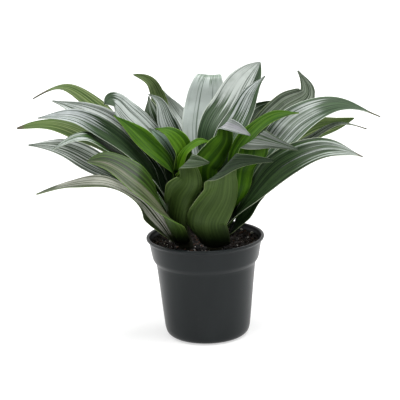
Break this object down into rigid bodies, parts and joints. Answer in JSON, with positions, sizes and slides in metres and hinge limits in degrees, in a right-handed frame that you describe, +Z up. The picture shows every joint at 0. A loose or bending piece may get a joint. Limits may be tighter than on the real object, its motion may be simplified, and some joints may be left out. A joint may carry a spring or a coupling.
{
  "type": "potted dracaena",
  "caption": "Compact dracaena with broad, pleated, arching leaves on short canes, standing in a round tapered nursery pot with soil.",
  "frame": {"origin": "middle of the pot's flat base, on the surface it stands on", "axes": "+Z up, -Y towards the plant's front, +X to the right as seen from the front"},
  "size_m": [0.3704, 0.282, 0.2718],
  "materials": {
    "pot": "satin",
    "soil": "rough",
    "cane": "matte",
    "leaf": "satin",
    "young_leaf": "satin"
  },
  "bodies": {
    "root": {"back_leaf_01": "leaf", "back_leaf_02": "leaf", "back_leaf_03": "leaf", "back_leaf_04": "leaf", "back_leaf_05": "leaf", "back_leaf_06": "leaf", "back_leaf_07": "leaf", "back_leaf_08": "leaf", "back_leaf_09": "leaf", "back_leaf_10": "leaf", "back_leaf_11": "leaf", "back_leaf_12": "leaf", "back_leaf_13": "leaf", "back_leaf_14": "leaf", "back_leaf_15": "leaf", "back_leaf_16": "leaf", "cane_back": "cane", "cane_left": "cane", "cane_right": "cane", "left_leaf_01": "leaf", "left_leaf_02": "leaf", "left_leaf_03": "leaf", "left_leaf_04": "leaf", "left_leaf_05": "leaf", "left_leaf_06": "leaf", "left_leaf_07": "leaf", "left_leaf_08": "leaf", "left_leaf_09": "leaf", "left_leaf_10": "leaf", "left_leaf_11": "leaf", "left_leaf_12": "leaf", "left_leaf_13": "leaf", "left_leaf_14": "leaf", "left_leaf_15": "leaf", "left_leaf_16": "young_leaf", "left_leaf_17": "young_leaf", "left_leaf_18": "young_leaf", "pot": "pot", "right_leaf_01": "leaf", "right_leaf_02": "leaf", "right_leaf_03": "leaf", "right_leaf_04": "leaf", "right_leaf_05": "leaf", "right_leaf_06": "leaf", "right_leaf_07": "young_leaf", "right_leaf_08": "leaf", "right_leaf_09": "leaf", "right_leaf_10": "young_leaf", "right_leaf_11": "leaf", "right_leaf_12": "young_leaf", "soil": "soil"}
  },
  "joints": []
}
